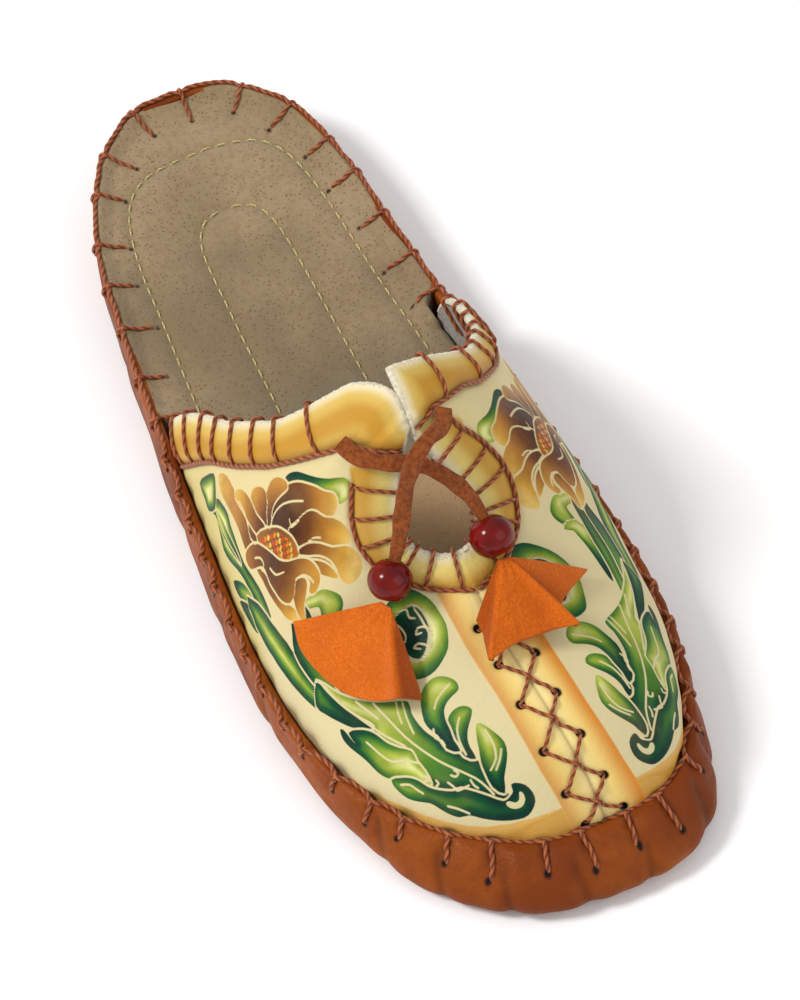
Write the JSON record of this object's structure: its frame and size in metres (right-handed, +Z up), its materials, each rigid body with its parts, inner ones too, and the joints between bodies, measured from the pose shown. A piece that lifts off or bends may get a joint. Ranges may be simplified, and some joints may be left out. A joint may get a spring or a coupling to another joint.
{
  "type": "backless babouche slipper",
  "caption": "Backless leather slipper with a painted vamp laced down the middle, a keyhole throat with beaded tassel thongs, a padded insole and a soft sole turned up as a stitched rand.",
  "frame": {"origin": "on the floor, on the flat underside of the sole, under the middle of the rand's stitched edge", "axes": "+X to the toe, +Y to the wearer's left, +Z up"},
  "size_m": [0.2597, 0.0945, 0.085],
  "materials": {
    "sole_leather": "soft, low sheen",
    "insole_suede": "matte suede with pores",
    "painted_leather": "smooth, satin, hand painted",
    "brown_cord": "matte twisted cord",
    "thong_suede": "matte suede",
    "red_wood": "glossy lacquer",
    "orange_suede": "matte suede"
  },
  "bodies": {
    "root": {"sole": "sole_leather", "insole": "insole_suede", "upper": "painted_leather", "seam_lacing": "brown_cord", "thong_right": "thong_suede", "bead_right": "red_wood", "tassel_right": "orange_suede", "thong_left": "thong_suede", "bead_left": "red_wood", "tassel_left": "orange_suede"}
  },
  "joints": []
}
